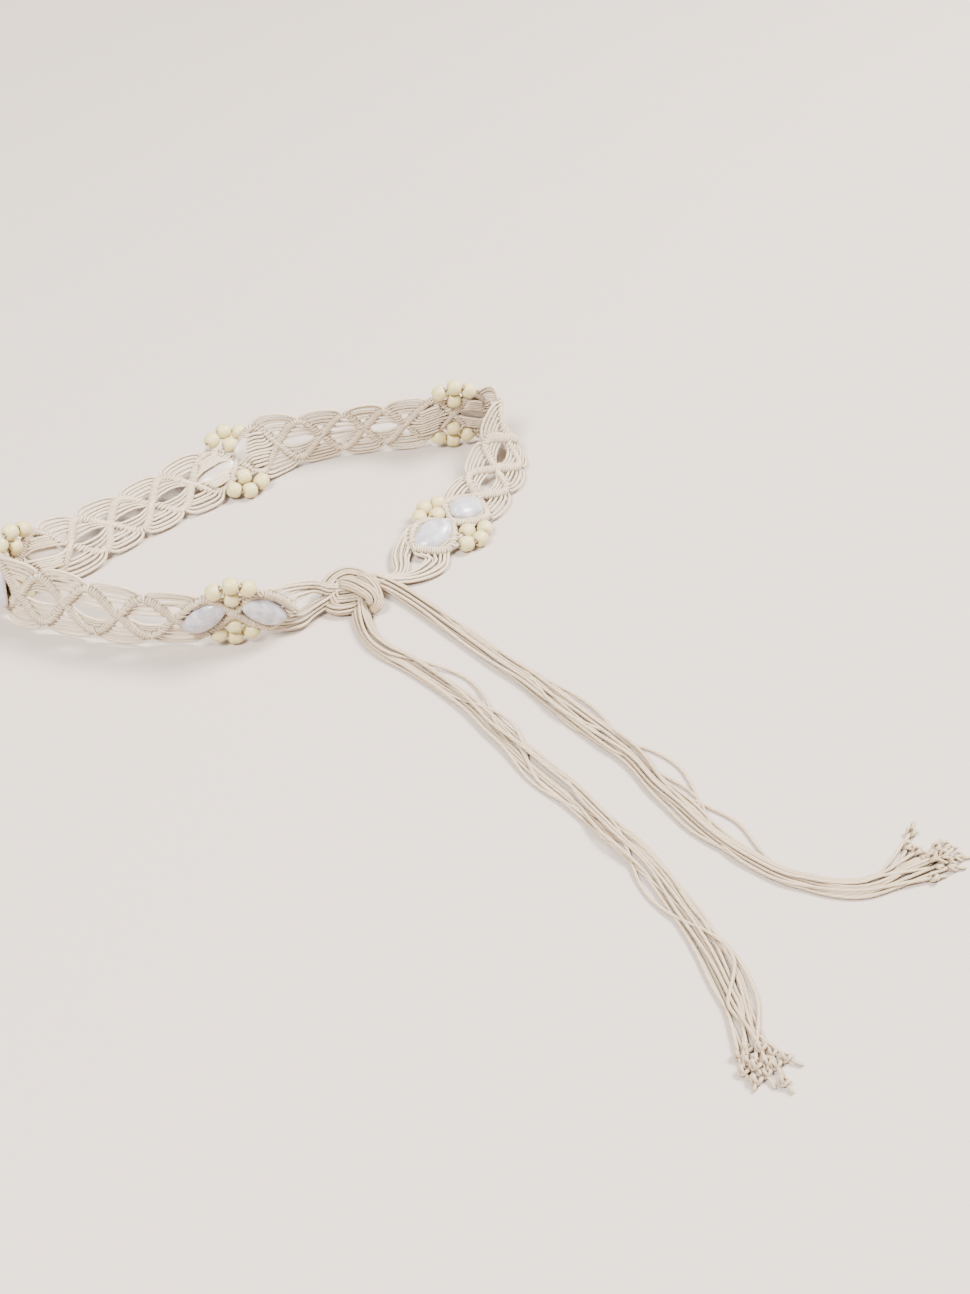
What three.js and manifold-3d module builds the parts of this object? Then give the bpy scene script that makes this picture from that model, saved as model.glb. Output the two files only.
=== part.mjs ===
import * as THREE from "three";
import { mergeVertices } from "three/addons/utils/BufferGeometryUtils.js";
import Module from "manifold-3d";

const wasm = await Module();
wasm.setup();

// A knotted cotton belt lying in a loop on a surface, tied at the front, with two loose tails.
// Millimetres, +Z up, the front of the loop toward -Y.

// Sizes of the lying loop and of the band
const LOOP_LENGTH = 320;
const LOOP_WIDTH = 215;
const CORD = 2;
const RIB_REACH = 15.5;
const RIB_WIDTH = 4.5;
const RIB_PROUD = 3.2;
const RIB_BACK = 1.2;
const SCALLOP_REACH = 23.6;
const SCALLOP_NOTCH = 16.6;
const SCALLOP_THICK = 2.6;
const COMB_THICK = 2;
const BACKING = { top: -0.8, bottom: -2.8, slit: 1 };
const BEAD = { diameter: 10, length: 9, sides: 10 };
const BEAD_REACH = 23.2;
const STONE = { length: 28.5, width: 19.5, thick: 7.6, back: -0.3 };
const CLEAR = 0.35;
const CELLS = 22;

// Where the middle of the loop's outline lies from the route's own middle
const ORIGIN = { x: 0.07, y: -0.42 };

// The line the band follows: cell count from the knot, place on the loop as shares of its
// length and width, lean of the top edge outward in degrees, and share of the full width
const ROUTE = [
  { u: 0, along: 0.064, across: -0.432, lean: 8, spread: 0.95 },
  { u: 1, along: -0.044, across: -0.484, lean: 12, spread: 1 },
  { u: 2, along: -0.149, across: -0.489, lean: 12, spread: 1 },
  { u: 3, along: -0.254, across: -0.475, lean: 2, spread: 1 },
  { u: 4, along: -0.357, across: -0.427, lean: -5, spread: 1 },
  { u: 5, along: -0.445, across: -0.387, lean: -8, spread: 1 },
  { u: 5.5, along: -0.48, across: -0.339, lean: -3, spread: 1 },
  { u: 6, along: -0.463, across: -0.27, lean: 4, spread: 0.97 },
  { u: 7, along: -0.385, across: -0.128, lean: 45, spread: 0.88 },
  { u: 8, along: -0.323, across: 0.004, lean: 65, spread: 0.86 },
  { u: 9, along: -0.251, across: 0.108, lean: 68, spread: 0.86 },
  { u: 10, along: -0.178, across: 0.203, lean: 65, spread: 0.9 },
  { u: 11, along: -0.092, across: 0.29, lean: 58, spread: 0.96 },
  { u: 12, along: -0.01, across: 0.345, lean: 14, spread: 0.92 },
  { u: 13, along: 0.078, across: 0.398, lean: -3, spread: 0.88 },
  { u: 14, along: 0.165, across: 0.433, lean: -5, spread: 0.88 },
  { u: 15, along: 0.25, across: 0.453, lean: -6, spread: 0.9 },
  { u: 16, along: 0.35, across: 0.468, lean: -9, spread: 1 },
  { u: 17, along: 0.43, across: 0.503, lean: -8, spread: 1 },
  { u: 17.5, along: 0.456, across: 0.463, lean: -16, spread: 0.96 },
  { u: 18, along: 0.458, across: 0.4, lean: -42, spread: 0.9 },
  { u: 19, along: 0.437, across: 0.3, lean: -76, spread: 0.86 },
  { u: 20, along: 0.4, across: 0.178, lean: -85, spread: 0.9 },
  { u: 21, along: 0.35, across: 0.037, lean: -85, spread: 0.97 },
  { u: 22, along: 0.273, across: -0.08, lean: -85, spread: 0.92 },
];

// The knot's middle as shares of the loop
const KNOT = { along: 0.169, across: -0.3 };

// Each tail's middle line from the knot's middle, x and y in millimetres
const TAIL = { halfWidth: 6.2, halfHeight: 3.7, sides: 8 };
const TAIL_NEAR = [
  [3, -1, 8], [5, -17, 5], [11, -34, 4], [21, -46], [33, -55], [45, -66], [57, -78], [72, -94],
  [86, -114], [100, -132], [112, -147], [124, -161], [137, -179], [150, -196], [156, -203],
  [167, -220], [177, -239], [186, -258], [193, -276], [198, -293], [202, -311], [205, -324],
  [207, -335],
];
const TAIL_FAR = [
  [1, 15, 9], [11, 16, 8], [22, 13, 5], [33, 4, 4], [45, -8], [57, -21], [72, -37], [90, -56],
  [105, -70], [119, -87], [133, -104], [147, -120], [160, -136], [172, -157], [184, -172],
  [196, -189], [209, -203], [221, -213], [235, -223], [241, -225], [256, -230], [272, -231],
  [288, -226], [302, -219], [312, -214],
];

// Where each strand's own end knot lies past the tail's end: along it, across it, half size
const END_KNOTS = [
  { past: 4, side: -8.5, half: 3 },
  { past: 9, side: -3, half: 3.2 },
  { past: 5, side: 2, half: 3.1 },
  { past: 17, side: 1, half: 2.9 },
  { past: 10, side: 7.5, half: 3 },
];

const smooth = (t) => t * t * (3 - 2 * t);
const clamp = (value, low, high) => Math.min(high, Math.max(low, value));

// A smooth value between table rows, with each row's slope taken from its neighbours
function fromRoute(u, key) {
  let i = 0;
  while (i < ROUTE.length - 2 && u > ROUTE[i + 1].u) i += 1;
  const slope = (j) => {
    const a = ROUTE[Math.max(j - 1, 0)];
    const b = ROUTE[Math.min(j + 1, ROUTE.length - 1)];
    return (b[key] - a[key]) / (b.u - a.u);
  };
  const span = ROUTE[i + 1].u - ROUTE[i].u;
  const t = (u - ROUTE[i].u) / span;
  const s = smooth(t);
  const bend = t * (1 - t) * span;
  return (
    ROUTE[i][key] * (1 - s) +
    ROUTE[i + 1][key] * s +
    bend * (slope(i) * (1 - t) - slope(i + 1) * t)
  );
}

const hasBeads = (crossing) => crossing % 5 === 1;
const hasStone = (cell) => cell % 5 < 2;
const isEnd = (crossing) => crossing === 0 || crossing === CELLS;

// Plan position, outward direction, lean and spacing of the cells at u
function station(u) {
  const at = clamp(u, 0, CELLS);
  const step = 0.01;
  const low = Math.max(at - step, 0);
  const high = Math.min(at + step, CELLS);
  const dx = (fromRoute(high, "along") - fromRoute(low, "along")) * LOOP_LENGTH;
  const dy = (fromRoute(high, "across") - fromRoute(low, "across")) * LOOP_WIDTH;
  const length = Math.hypot(dx, dy);
  return {
    x: fromRoute(at, "along") * LOOP_LENGTH + ((u - at) * dx) / (high - low) - ORIGIN.x,
    y: fromRoute(at, "across") * LOOP_WIDTH + ((u - at) * dy) / (high - low) - ORIGIN.y,
    outX: dy / -length,
    outY: dx / length,
    lean: THREE.MathUtils.degToRad(fromRoute(at, "lean")),
    spread: fromRoute(at, "spread"),
    pitch: length / (high - low),
  };
}

// Height of the band's middle where it rests on its lower edge, or on its beads near them
function midHeight(u) {
  const { lean, spread } = station(u);
  const down = Math.cos(lean) * spread;
  const onCords = SCALLOP_REACH * down + 0.4 + 3 * Math.abs(Math.sin(lean));
  const onBeads = BEAD_REACH * down + BEAD.diameter / 2 + 0.1;
  const nearest = Math.round((u - 1) / 5) * 5 + 1;
  const beads = 1 - smooth(clamp((Math.abs(u - nearest) - 0.35) / 0.3, 0, 1));
  return onCords + (onBeads - onCords) * beads;
}

// Maps a point of the flat pattern onto the lying band: u in cells, v across, n out of its face
function place(u, v, n) {
  const s = station(u);
  const sin = Math.sin(s.lean);
  const cos = Math.cos(s.lean);
  const wide = v * s.spread;
  const across = wide * sin + n * cos;
  return new THREE.Vector3(
    s.x + s.outX * across,
    s.y + s.outY * across,
    midHeight(u) + wide * cos - n * sin,
  );
}

// A closed solid from rings of equal length, capped at both ends
function solidOfRings(rings) {
  const sides = rings[0].length;
  const positions = rings.flat().flatMap((p) => [p.x, p.y, p.z]);
  const index = [];
  for (let r = 0; r < rings.length - 1; r += 1) {
    for (let i = 0; i < sides; i += 1) {
      const a = r * sides + i;
      const b = r * sides + ((i + 1) % sides);
      index.push(a, b, b + sides, a, b + sides, a + sides);
    }
  }
  const last = (rings.length - 1) * sides;
  for (let i = 1; i < sides - 1; i += 1) {
    index.push(0, i + 1, i);
    index.push(last, last + i, last + i + 1);
  }
  return toManifold(positions, index);
}

function toManifold(positions, index) {
  const make = (triangles) =>
    new wasm.Manifold(
      new wasm.Mesh({
        numProp: 3,
        vertProperties: new Float32Array(positions),
        triVerts: new Uint32Array(triangles),
      }),
    );
  const made = make(index);
  if (made.volume() > 0) return made;
  const turned = [];
  for (let i = 0; i < index.length; i += 3) turned.push(index[i], index[i + 2], index[i + 1]);
  return make(turned);
}

// A bundle of cords swept along points in space, wide by tall
function bundle(points, halfWide, halfTall, sides, steps) {
  const curve = new THREE.CatmullRomCurve3(points, false, "centripetal");
  const up = new THREE.Vector3(0, 0, 1);
  const rings = [];
  for (let i = 0; i <= steps; i += 1) {
    const centre = curve.getPointAt(i / steps);
    const ahead = curve.getTangentAt(i / steps);
    const side = new THREE.Vector3().crossVectors(ahead, up);
    if (side.length() < 0.2) side.set(1, 0, 0);
    side.normalize();
    const top = new THREE.Vector3().crossVectors(side, ahead).normalize();
    const ring = [];
    for (let j = 0; j < sides; j += 1) {
      const turn = ((j + 0.5) / sides) * 2 * Math.PI;
      ring.push(
        centre
          .clone()
          .addScaledVector(side, halfWide * Math.cos(turn))
          .addScaledVector(top, halfTall * Math.sin(turn)),
      );
    }
    rings.push(ring);
  }
  return solidOfRings(rings);
}

const unite = (solids) => solids.reduce((sum, next) => sum.add(next));
const largest = (solid) =>
  solid.decompose().reduce((best, next) => (next.volume() > best.volume() ? next : best));

// The ribs' line in a cell, a pointed leaf from crossing to crossing
const STEPS = [0, 0.17, 0.38, 0.62, 0.83];
const ribLine = (t) => RIB_REACH * Math.abs(Math.sin(Math.PI * t)) ** 1.25;
const ribHalf = (t) => (RIB_WIDTH / 2) * (1 + 0.4 * Math.abs(Math.cos(Math.PI * t)));

// Half height of the eye left open between the two combs of a diamond
const EYE = { half: 5.4, middle: 0.55, halfLength: 0.33, closedCell: 13, closedHalf: 1.2 };
function eyeHalf(cell, t) {
  const half = cell === EYE.closedCell ? EYE.closedHalf : EYE.half;
  return Math.max(half * (1 - ((t - EYE.middle) / EYE.halfLength) ** 2), 0);
}

// Outer edge of the cords that go round a crossing, and the inner edge over the small gap
const SCALLOP_GAP = 9.4;
const scallopOuter = (s) =>
  SCALLOP_NOTCH + 1.6 + (SCALLOP_REACH - SCALLOP_NOTCH - 1.6) * Math.max(1 - (2 * s) ** 2, 0) ** 0.7;

// How far out the ribs reach beside a crossing's beads, by distance from the crossing in cells
const BESIDE_BEADS = [
  { within: 0.1, across: 3.2 },
  { within: 0.2, across: 7 },
  { within: 0.5, across: 14 },
];

// The upper half of one column of the pattern, from the outer edge in to the middle line:
// distance across the band, and the heights of the back and front faces there
function column(cell, t) {
  const nearest = t < 0.5 ? cell : cell + 1;
  const fromCrossing = Math.min(t, 1 - t);
  const middle = ribLine(t);
  const half = ribHalf(t);
  const plain = hasBeads(nearest) || isEnd(nearest);
  const stone = hasStone(cell);
  const limit = hasBeads(nearest)
    ? BESIDE_BEADS.find((row) => fromCrossing <= row.within).across
    : Infinity;
  const ribOuter = Math.min(t === 0 ? 3.2 : middle + half, limit);
  const outer = plain ? ribOuter : scallopOuter(t < 0.5 ? t : t - 1);
  const gap = plain || middle + half > SCALLOP_GAP ? ribOuter : SCALLOP_GAP;
  const open = stone && fromCrossing > 0.2 ? BACKING.slit : 0;
  const inner = stone ? open : eyeHalf(cell, t);
  const flat = { back: SCALLOP_THICK / -2, front: SCALLOP_THICK / 2 };
  const comb = stone
    ? { back: BACKING.bottom, front: BACKING.top }
    : { back: COMB_THICK / -2, front: COMB_THICK / 2 };
  const ridge = { back: -RIB_BACK, front: RIB_PROUD };
  const across = [
    { v: outer, ...flat },
    { v: gap, ...flat },
    { v: ribOuter, ...flat },
    { v: t === 0 ? 0 : middle, ...ridge },
    { v: t === 0 ? 0 : middle - half * (stone ? 0.5 : 1), ...comb },
    { v: t === 0 ? 0 : inner, ...comb },
  ];
  return across.map((p) => ({ ...p, v: Math.max(p.v, 0) }));
}

// The woven band as one sheet with thickness; the small gaps, the eyes and the slits stay open
function wovenSheet() {
  const columns = [];
  for (let cell = 0; cell < CELLS; cell += 1) {
    for (const t of STEPS) columns.push({ u: cell + t, rows: column(cell, t) });
  }
  columns.push({ u: CELLS, rows: column(CELLS, 0) });
  const positions = [];
  const ids = columns.map(({ u, rows }) => {
    const all = [...rows, ...rows.map((p) => ({ ...p, v: -p.v })).reverse()];
    const found = new Map();
    return all.map((p) => {
      const key = p.v.toFixed(3).replace("-0.000", "0.000");
      if (!found.has(key)) {
        found.set(key, positions.length / 6);
        for (const n of [p.back, p.front]) {
          const q = place(u, p.v, n);
          positions.push(q.x, q.y, q.z);
        }
      }
      return found.get(key);
    });
  });
  const half = columns[0].rows.length;
  const holes = [1, half - 1, 2 * half - 3];
  const index = [];
  const edges = new Map();
  const addTriangle = (a, b, c) => {
    if (a === b || b === c || c === a) return;
    index.push(2 * a + 1, 2 * b + 1, 2 * c + 1, 2 * a, 2 * c, 2 * b);
    for (const [p, q] of [[a, b], [b, c], [c, a]]) {
      const back = q + "," + p;
      if (edges.has(back)) edges.delete(back);
      else edges.set(p + "," + q, [p, q]);
    }
  };
  for (let i = 0; i + 1 < ids.length; i += 1) {
    for (let j = 0; j + 1 < 2 * half; j += 1) {
      if (holes.includes(j)) continue;
      const [a, b, c, d] = [ids[i][j], ids[i + 1][j], ids[i + 1][j + 1], ids[i][j + 1]];
      addTriangle(a, b, c);
      addTriangle(a, c, d);
    }
  }
  for (const [p, q] of edges.values()) {
    index.push(2 * q + 1, 2 * p + 1, 2 * p, 2 * q + 1, 2 * p, 2 * q);
  }
  return toManifold(positions, index);
}

// Beads of one side of a crossing: the inner one, then the three of the outer arc
const INNER_BEAD = { across: 12.4 };
const ARC_BEADS = [
  { along: -9.7, across: 19.4, turn: -32 },
  { along: 0, across: BEAD_REACH, turn: 0 },
  { along: 9.7, across: 19.4, turn: 32 },
];

const BEAD_PROFILE = [
  { at: -0.5, r: 0.5 },
  { at: -0.25, r: 0.97 },
  { at: 0.25, r: 0.97 },
  { at: 0.5, r: 0.5 },
];

// The band's own directions at a crossing, and a bead's middle there
function crossingFrame(crossing) {
  const near = place(crossing - 0.02, 0, 0);
  const far = place(crossing + 0.02, 0, 0);
  const along = far.sub(near).setZ(0).normalize();
  const across = place(crossing, 1, 0).sub(place(crossing, 0, 0)).normalize();
  return { along, across, out: new THREE.Vector3().crossVectors(along, across).normalize() };
}

function beadMiddle(crossing, side, spot) {
  const { along, across } = crossingFrame(crossing);
  return place(crossing, 0, 0)
    .addScaledVector(along, spot.along || 0)
    .addScaledVector(across, side * spot.across * station(crossing).spread);
}

// A turned bead's rings across its axis, in the band's plane
function beadRings(crossing, side, spot, grow, sides) {
  const turn = THREE.MathUtils.degToRad(spot.turn || 0) * -side;
  const { along, across, out } = crossingFrame(crossing);
  const middle = beadMiddle(crossing, side, spot);
  const axis = along
    .clone()
    .multiplyScalar(Math.cos(turn))
    .addScaledVector(across, Math.sin(turn));
  const wide = new THREE.Vector3().crossVectors(out, axis).normalize();
  return BEAD_PROFILE.map(({ at, r }) => {
      const ring = [];
      for (let i = 0; i < sides; i += 1) {
        const angle = ((i + 0.5) / sides) * 2 * Math.PI;
        const radius = (r * BEAD.diameter) / 2 + grow;
        ring.push(
          middle
            .clone()
            .addScaledVector(axis, at * (BEAD.length + 2 * grow))
            .addScaledVector(wide, radius * Math.cos(angle))
            .addScaledVector(out, radius * Math.sin(angle)),
        );
      }
      return ring;
    });
}

// The stretches of cord that run from the ribs into the end beads of each string
const STRING_ROOTS = [
  { spots: [INNER_BEAD, INNER_BEAD], from: 0.24, across: 10 },
  { spots: [ARC_BEADS[0], ARC_BEADS[2]], from: 0.47, across: 15.8 },
];

function beadCords(crossing) {
  const bars = [];
  for (const side of [1, -1]) {
    for (const { spots, from, across } of STRING_ROOTS) {
      spots.forEach((spot, i) => {
        const root = place(crossing + (i ? from : -from), side * across, 0.4);
        bars.push(bundle([root, beadMiddle(crossing, side, spot)], 1.5, 1.5, 4, 1));
      });
    }
  }
  return bars;
}

// A domed marquise stone: back, girdle, crown and table
const STONE_OUTLINE = [
  { along: 0.5, across: 0.02 },
  { along: 0.36, across: 0.28 },
  { along: 0.15, across: 0.475 },
  { along: -0.15, across: 0.475 },
  { along: -0.36, across: 0.28 },
  { along: -0.5, across: 0.02 },
];
const STONE_LEVELS = [
  { depth: 0, share: 0.9 },
  { depth: 0.25, share: 1 },
  { depth: 0.7, share: 0.76 },
  { depth: 1, share: 0.36 },
];

function stone(cell, grow) {
  const middle = cell + 0.5;
  const along = place(middle + 0.05, 0, 0)
    .sub(place(middle - 0.05, 0, 0))
    .normalize();
  const across = place(middle, 1, 0).sub(place(middle, 0, 0)).normalize();
  const out = new THREE.Vector3().crossVectors(along, across).normalize();
  const outside = place(middle, 0, 1).sub(place(middle, 0, 0)).normalize();
  if (out.dot(outside) < 0) out.negate();
  const centre = place(middle, 0, 0);
  const edge = [
    ...STONE_OUTLINE,
    ...STONE_OUTLINE.slice()
      .reverse()
      .map(({ along: a, across: c }) => ({ along: a, across: -c })),
  ];
  return solidOfRings(
    STONE_LEVELS.map(({ depth, share }) =>
      edge.map((p) =>
        centre
          .clone()
          .addScaledVector(along, p.along * share * (STONE.length + 2 * grow))
          .addScaledVector(across, p.across * share * (STONE.width + 2 * grow))
          .addScaledVector(out, STONE.back - grow + depth * (STONE.thick + 2 * grow)),
      ),
    ),
  );
}

const knotAt = new THREE.Vector3(
  KNOT.along * LOOP_LENGTH - ORIGIN.x,
  KNOT.across * LOOP_WIDTH - ORIGIN.y,
  0,
);
const fromKnot = ([x, y, z = TAIL.halfHeight]) =>
  new THREE.Vector3(knotAt.x + x, knotAt.y + y, z);

// Bundles of cords that leave the band's ends and gather into the knot. Each runs through points of
// the band's pattern, then through points from the knot's middle.
const LEFT_FAN = [
  {
    band: [[0.42, 14.5, 0], [0.2, 15, 0], [-0.05, 14.5, 0]],
    points: [[-24, -14, 25.5], [-16, -5, 15.5], [-9, 1, 11]],
    half: 3,
  },
  {
    band: [[0.42, -14.5, 0], [0.2, -16, 0], [-0.02, -16.5, 0]],
    points: [[-31, -24, 8], [-24, -15, 7.5], [-15.5, -6, 8.5], [-9, 0, 10]],
    half: 3,
  },
  {
    band: [[0.15, 4, 1], [0, 1, 1]],
    points: [[-29, -19, 15.5], [-22, -11, 11.5], [-8, -2, 10]],
    half: 2.6,
  },
];
const RIGHT_FAN = [
  {
    band: [[21.6, 14.5, 0], [21.8, 14, 0]],
    points: [[27.9, 51.5, 5.5], [26.3, 41, 5], [27, 31, 5], [25, 23, 5], [17, 17.5, 7], [8, 9, 9]],
    half: 3,
  },
  {
    band: [[21.55, -14.5, 0]],
    points: [[50, 43, 4.5], [48.5, 36, 4.5], [41.5, 28, 4.5], [31.5, 21.5, 4.5], [18, 17, 6], [9, 9, 8]],
    half: 3,
  },
  {
    band: [[21.9, 0, 0], [22, 0, 0]],
    points: [[31, 42, 5], [30, 35, 5], [29.5, 28, 5], [26, 22, 5], [17, 17.5, 7], [8, 9, 9]],
    half: 2.4,
  },
];

function fan(rows, grow) {
  return rows.map(({ band, points, half }) =>
    bundle(
      [...band.map(([u, v, n]) => place(u, v, n)), ...points.map(fromKnot)],
      half + grow,
      half + grow,
      6,
      7,
    ),
  );
}

function tail(points, grow) {
  return bundle(
    points.map(fromKnot),
    TAIL.halfWidth + grow,
    TAIL.halfHeight + grow,
    TAIL.sides,
    Math.round(points.length * 1.2),
  );
}

// The tie: loops of the whole bundle over a full middle, cut flat where it rests
const KNOT_LOOPS = [
  // round the neck of the left fan
  { points: [[-12, 6, 12], [-13, 2, 14], [-12.5, -3, 11.5], [-12, -6, 7]], wide: 3.6, tall: 2.8 },
  // the arc over the top
  {
    points: [[-19, 2, 6], [-18, 6, 9], [-13.5, 10.5, 12], [-7, 14, 13], [0, 14, 12.5], [7, 13, 9]],
    wide: 5,
    tall: 4,
  },
  // the broad turn across the middle
  {
    points: [[-10, 4, 11], [-7, 4, 13.5], [-1, 1, 15], [5, -3, 15], [10.5, -6, 12.5], [13, -9, 8.5], [11, -11.5, 4]],
    wide: 5.2,
    tall: 3.6,
  },
  // the hook down the right side
  {
    points: [[1, 12, 13], [6, 8.5, 14.5], [11, 3.5, 13.5], [14.5, -3, 10.5], [15, -8.5, 7], [12.5, -11.5, 3.5]],
    wide: 3,
    tall: 3,
  },
  // the arc below
  { points: [[-19, -3, 6], [-16, -7, 5], [-10, -10, 4.5], [-3, -9.5, 5], [4, -6, 5]], wide: 3.6, tall: 3.6 },
  // the full middle
  { points: [[-17, 0, 5], [-8, -1, 5], [0, 0, 5], [8, 1, 5], [14, 0, 5]], wide: 9.5, tall: 6.2 },
];

function cuttingBlock(low, high) {
  const box = new THREE.BoxGeometry(high.x - low.x, high.y - low.y, high.z - low.z);
  box.translate((high.x + low.x) / 2, (high.y + low.y) / 2, (high.z + low.z) / 2);
  box.deleteAttribute("normal");
  box.deleteAttribute("uv");
  const merged = mergeVertices(box);
  return toManifold([...merged.attributes.position.array], [...merged.index.array]);
}

// End knots of one tail's strands, with the last of the strands that carry them
function endKnots(points) {
  const last = fromKnot(points[points.length - 1]);
  const ahead = last.clone().sub(fromKnot(points[points.length - 3])).setZ(0).normalize();
  const side = new THREE.Vector3(-ahead.y, ahead.x, 0);
  const solids = [];
  const start = last.clone().addScaledVector(ahead, CLEAR + 1.1);
  for (const knot of END_KNOTS) {
    const middle = start
      .clone()
      .addScaledVector(ahead, knot.past)
      .addScaledVector(side, knot.side)
      .setZ(knot.half);
    const profile = [-1, -0.5, 0.5, 1];
    solids.push(
      solidOfRings(
        profile.map((at) => {
          const radius = knot.half * (Math.abs(at) === 1 ? 0.5 : 1);
          const ring = [];
          for (let i = 0; i < 6; i += 1) {
            const angle = ((i + 0.5) / 6) * 2 * Math.PI;
            ring.push(
              middle
                .clone()
                .addScaledVector(ahead, at * knot.half * 1.1)
                .addScaledVector(side, radius * Math.cos(angle))
                .add(new THREE.Vector3(0, 0, radius * Math.sin(angle))),
            );
          }
          return ring;
        }),
      ),
    );
    const root = start.clone().addScaledVector(side, knot.side * 0.35).setZ(2.2);
    solids.push(bundle([root, middle.clone().setZ(2.2)], CORD / 2, CORD / 2, 4, 1));
  }
  const gather = start.clone().setZ(2.2).addScaledVector(side, -4.2);
  const gatherEnd = start.clone().setZ(2.2).addScaledVector(side, 4.2);
  solids.push(bundle([gather, gatherEnd], CORD * 0.6, CORD * 0.75, 4, 1));
  return unite(solids);
}

const solids = new Map();
const beadCutters = [];
const CUTTER_SIDES = 6;
for (let k = 1; k < CELLS; k += 5) {
  for (const side of [1, -1]) {
    const name = String(k).padStart(2, "0") + (side > 0 ? "_upper" : "_lower");
    const inner = solidOfRings(beadRings(k, side, INNER_BEAD, 0, BEAD.sides));
    const arc = solidOfRings(ARC_BEADS.flatMap((spot) => beadRings(k, side, spot, 0, BEAD.sides)));
    solids.set("bead_inner_" + name, { solid: inner, look: "bead" });
    solids.set("bead_arc_" + name, { solid: arc, look: "bead" });
    for (const spot of [INNER_BEAD, ...ARC_BEADS]) {
      beadCutters.push(solidOfRings(beadRings(k, side, spot, CLEAR * 2, CUTTER_SIDES)));
    }
  }
}

const stoneCutters = [];
for (let cell = 0; cell < CELLS; cell += 1) {
  if (!hasStone(cell)) continue;
  const name = "stone_" + String(stoneCutters.length + 1).padStart(2, "0");
  solids.set(name, { solid: stone(cell, 0), look: "stone" });
  stoneCutters.push(stone(cell, CLEAR));
}

const bars = [...fan(LEFT_FAN, 0), ...fan(RIGHT_FAN, 0)];
for (let k = 1; k < CELLS; k += 5) bars.push(...beadCords(k));
const woven = unite([wovenSheet(), ...bars]).subtract(unite([...beadCutters, ...stoneCutters]));
solids.set("woven_band", { solid: largest(woven), look: "cord" });

const fanCutter = unite([...fan(LEFT_FAN, CLEAR), ...fan(RIGHT_FAN, CLEAR)]);
const tailCutter = unite([tail(TAIL_NEAR, CLEAR), tail(TAIL_FAR, CLEAR)]);
const reach = LOOP_LENGTH / 4;
const below = cuttingBlock(
  new THREE.Vector3(knotAt.x - reach, knotAt.y - reach, -reach),
  new THREE.Vector3(knotAt.x + reach, knotAt.y + reach, 0),
);
const loops = KNOT_LOOPS.map(({ points, wide, tall }) =>
  bundle(points.map(fromKnot), wide, tall, 6, points.length + 3),
);
const knot = unite(loops).subtract(fanCutter).subtract(tailCutter).subtract(below);
solids.set("tie_knot", { solid: largest(knot), look: "cord" });
solids.set("tie_tail_near", { solid: tail(TAIL_NEAR, 0).subtract(fanCutter), look: "cord" });
solids.set("tie_tail_far", {
  solid: largest(tail(TAIL_FAR, 0).subtract(fanCutter).subtract(tail(TAIL_NEAR, CLEAR))),
  look: "cord",
});
solids.set("end_knots_near", { solid: endKnots(TAIL_NEAR), look: "cord" });
solids.set("end_knots_far", { solid: endKnots(TAIL_FAR), look: "cord" });

const LOOKS = {
  cord: new THREE.MeshStandardMaterial({ color: 0xe6dccb, roughness: 0.9 }),
  bead: new THREE.MeshStandardMaterial({ color: 0xecdfb8, roughness: 0.5 }),
  stone: new THREE.MeshStandardMaterial({ color: 0xdcdce8, roughness: 0.2 }),
};

const belt = new THREE.Group();
for (const [name, { solid, look }] of solids) {
  const mesh = solid.getMesh();
  const geometry = new THREE.BufferGeometry();
  geometry.setAttribute("position", new THREE.BufferAttribute(mesh.vertProperties, 3));
  geometry.setIndex(new THREE.BufferAttribute(mesh.triVerts, 1));
  geometry.computeVertexNormals();
  const node = new THREE.Mesh(geometry, LOOKS[look]);
  node.name = name;
  belt.add(node);
}

export default belt;
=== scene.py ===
"""Cotton macrame belt with wooden beads and domed stones, tied in a loop with two loose tails.

Metres, +Z up. The band is laid out flat as a pattern (u in cells along it, v across it and n out
of its face) and every cord of it is then mapped onto the line that the lying belt follows.
"""

import math
import random

import bmesh
import bpy
import numpy as np
from mathutils import Matrix, Vector


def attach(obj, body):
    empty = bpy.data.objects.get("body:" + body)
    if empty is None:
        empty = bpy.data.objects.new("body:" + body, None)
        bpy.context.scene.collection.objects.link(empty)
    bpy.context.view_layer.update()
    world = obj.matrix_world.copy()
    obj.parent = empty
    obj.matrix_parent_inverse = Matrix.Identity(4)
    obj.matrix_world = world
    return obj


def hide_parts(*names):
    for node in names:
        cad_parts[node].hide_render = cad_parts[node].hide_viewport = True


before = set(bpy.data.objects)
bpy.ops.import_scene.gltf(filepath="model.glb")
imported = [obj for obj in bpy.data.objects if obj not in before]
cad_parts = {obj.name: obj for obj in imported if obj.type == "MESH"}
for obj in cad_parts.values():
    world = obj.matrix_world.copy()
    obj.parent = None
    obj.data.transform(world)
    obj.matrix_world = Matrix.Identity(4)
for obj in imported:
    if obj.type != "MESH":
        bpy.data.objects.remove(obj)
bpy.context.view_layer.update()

MM = 0.001

# Camera, at the photograph's height and angle, with the same field of view
CAMERA_AT = (0.13293, -0.94658, 0.733)
CAMERA_DOWN = 41
CAMERA_LENS = 52.386

camera_data = bpy.data.cameras.new("camera")
camera_data.lens = CAMERA_LENS
camera_data.sensor_width = 36
camera_data.clip_end = 20
camera = bpy.data.objects.new("camera", camera_data)
camera.location = CAMERA_AT
camera.rotation_euler = (math.radians(90 - CAMERA_DOWN), 0, 0)
bpy.context.scene.collection.objects.link(camera)
bpy.context.scene.camera = camera

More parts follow.
